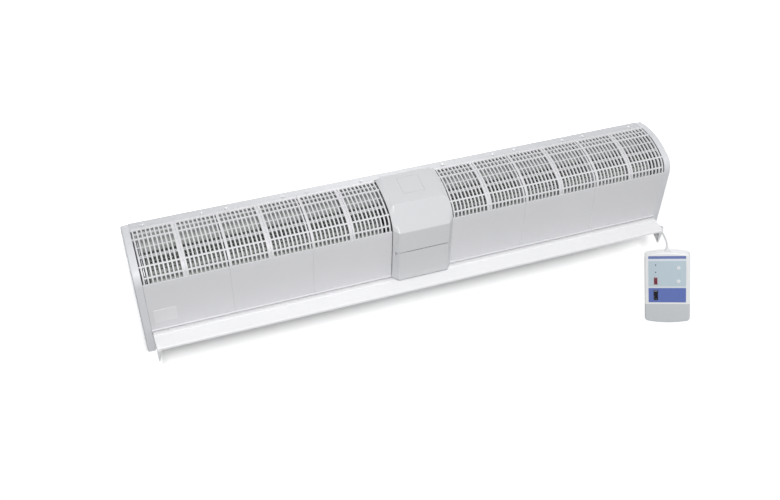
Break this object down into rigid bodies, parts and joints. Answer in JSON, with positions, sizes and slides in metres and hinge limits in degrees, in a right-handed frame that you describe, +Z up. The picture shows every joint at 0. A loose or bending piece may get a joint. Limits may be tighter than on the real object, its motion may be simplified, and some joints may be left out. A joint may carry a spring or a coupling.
{
  "type": "air curtain",
  "caption": "Wall-hung air curtain: curved intake grille, raised centre cover, hinged outlet deflector with end cheeks, twin cross-flow fan inside and a wired hand controller.",
  "frame": {"origin": "centre of the four wall holes, on the back face of the chassis", "axes": "+X along the housing to the right as seen from the room, +Y into the wall, +Z up"},
  "size_m": [1.3159, 0.162, 0.5254],
  "materials": {
    "chassis_paint": "satin powder coat",
    "cap_white": "moulded, fine satin",
    "panel_white": "moulded, satin",
    "cover_white": "moulded, satin",
    "deflector_white": "white powder coat",
    "galvanised": "galvanised sheet",
    "fan_dark": "moulded, matt",
    "motor_paint": "satin black enamel",
    "bright_steel": "turned, zinc plated",
    "black_rubber": "matt",
    "white_sleeve": "satin cable sheath",
    "ivory_plastic": "moulded",
    "capacitor_case": "moulded",
    "board_green": "coated laminate",
    "controller_shell": "moulded, satin",
    "overlay_blue": "printed film, no lettering",
    "black_plastic": "moulded",
    "red_plastic": "moulded",
    "button_white": "moulded",
    "lamp_lens": "clear tinted lens",
    "plate_white": "blank film"
  },
  "bodies": {
    "housing": {"back_chassis": "chassis_paint", "left_end_cap": "cap_white", "right_end_cap": "cap_white", "cap_screws": "bright_steel", "front_panel_1": "panel_white", "front_panel_2": "panel_white", "front_panel_3": "panel_white", "front_panel_4": "panel_white", "front_panel_5": "panel_white", "front_panel_6": "panel_white", "flange_screws": "bright_steel", "label_plate": "plate_white", "centre_cover": "cover_white", "centre_lower_cover": "cover_white", "centre_hatch": "cover_white", "cover_screw": "bright_steel", "centre_floor": "galvanised", "left_end_plate": "galvanised", "right_end_plate": "galvanised", "left_motor_wall": "galvanised", "right_motor_wall": "galvanised", "left_scroll": "galvanised", "right_scroll": "galvanised", "left_tongue": "galvanised", "right_tongue": "galvanised", "left_outlet_vanes": "fan_dark", "right_outlet_vanes": "fan_dark", "motor_body": "motor_paint", "motor_bracket": "galvanised", "left_bearing": "black_rubber", "right_bearing": "black_rubber", "capacitor": "capacitor_case", "terminal_block": "ivory_plastic", "control_board": "board_green", "mains_grommet": "black_rubber", "hinge_pins": "bright_steel", "cord_gland": "white_sleeve", "signal_cord": "white_sleeve", "controller_boot": "white_sleeve", "controller_front": "controller_shell", "controller_back": "controller_shell", "controller_overlay": "overlay_blue", "controller_board": "board_green", "power_switch_body": "black_plastic", "mode_switch_body": "black_plastic", "status_lamps": "lamp_lens", "controller_screws": "bright_steel"},
    "rotor": {"motor_shaft": "bright_steel", "left_impeller": "fan_dark", "right_impeller": "fan_dark"},
    "deflector": {"deflector_blade": "deflector_white", "left_cheek": "deflector_white", "right_cheek": "deflector_white"},
    "power_rocker": {"power_rocker": "black_plastic"},
    "mode_rocker": {"mode_rocker": "red_plastic"},
    "upper_button": {"upper_button": "button_white"},
    "lower_button": {"lower_button": "button_white"}
  },
  "joints": [
    {"name": "rotor_spin", "type": "hinge", "parent": "housing", "child": "rotor", "pos_m": [0, -0.063, 0.009], "axis": [1, 0, 0], "continuous": true},
    {"name": "deflector_hinge", "type": "hinge", "parent": "housing", "child": "deflector", "pos_m": [0, -0.107, -0.094], "axis": [1, 0, 0], "range_deg": [0, 78]},
    {"name": "power_rocker_tilt", "type": "hinge", "parent": "housing", "child": "power_rocker", "pos_m": [0.63179, -0.09839, -0.33444], "axis": [0.8404, -0.5311, 0.1077], "range_deg": [-14, 0]},
    {"name": "mode_rocker_tilt", "type": "hinge", "parent": "housing", "child": "mode_rocker", "pos_m": [0.63229, -0.09008, -0.29736], "axis": [0.8404, -0.5311, 0.1077], "range_deg": [-7, 7]},
    {"name": "upper_button_push", "type": "slide", "parent": "housing", "child": "upper_button", "axis": [0.5418, 0.8186, -0.1908], "range_m": [0, 0.0012], "stiffness_N_per_m": 900, "springref_m": -0.0008},
    {"name": "lower_button_push", "type": "slide", "parent": "housing", "child": "lower_button", "axis": [0.5418, 0.8186, -0.1908], "range_m": [0, 0.0012], "stiffness_N_per_m": 900, "springref_m": -0.0008}
  ]
}
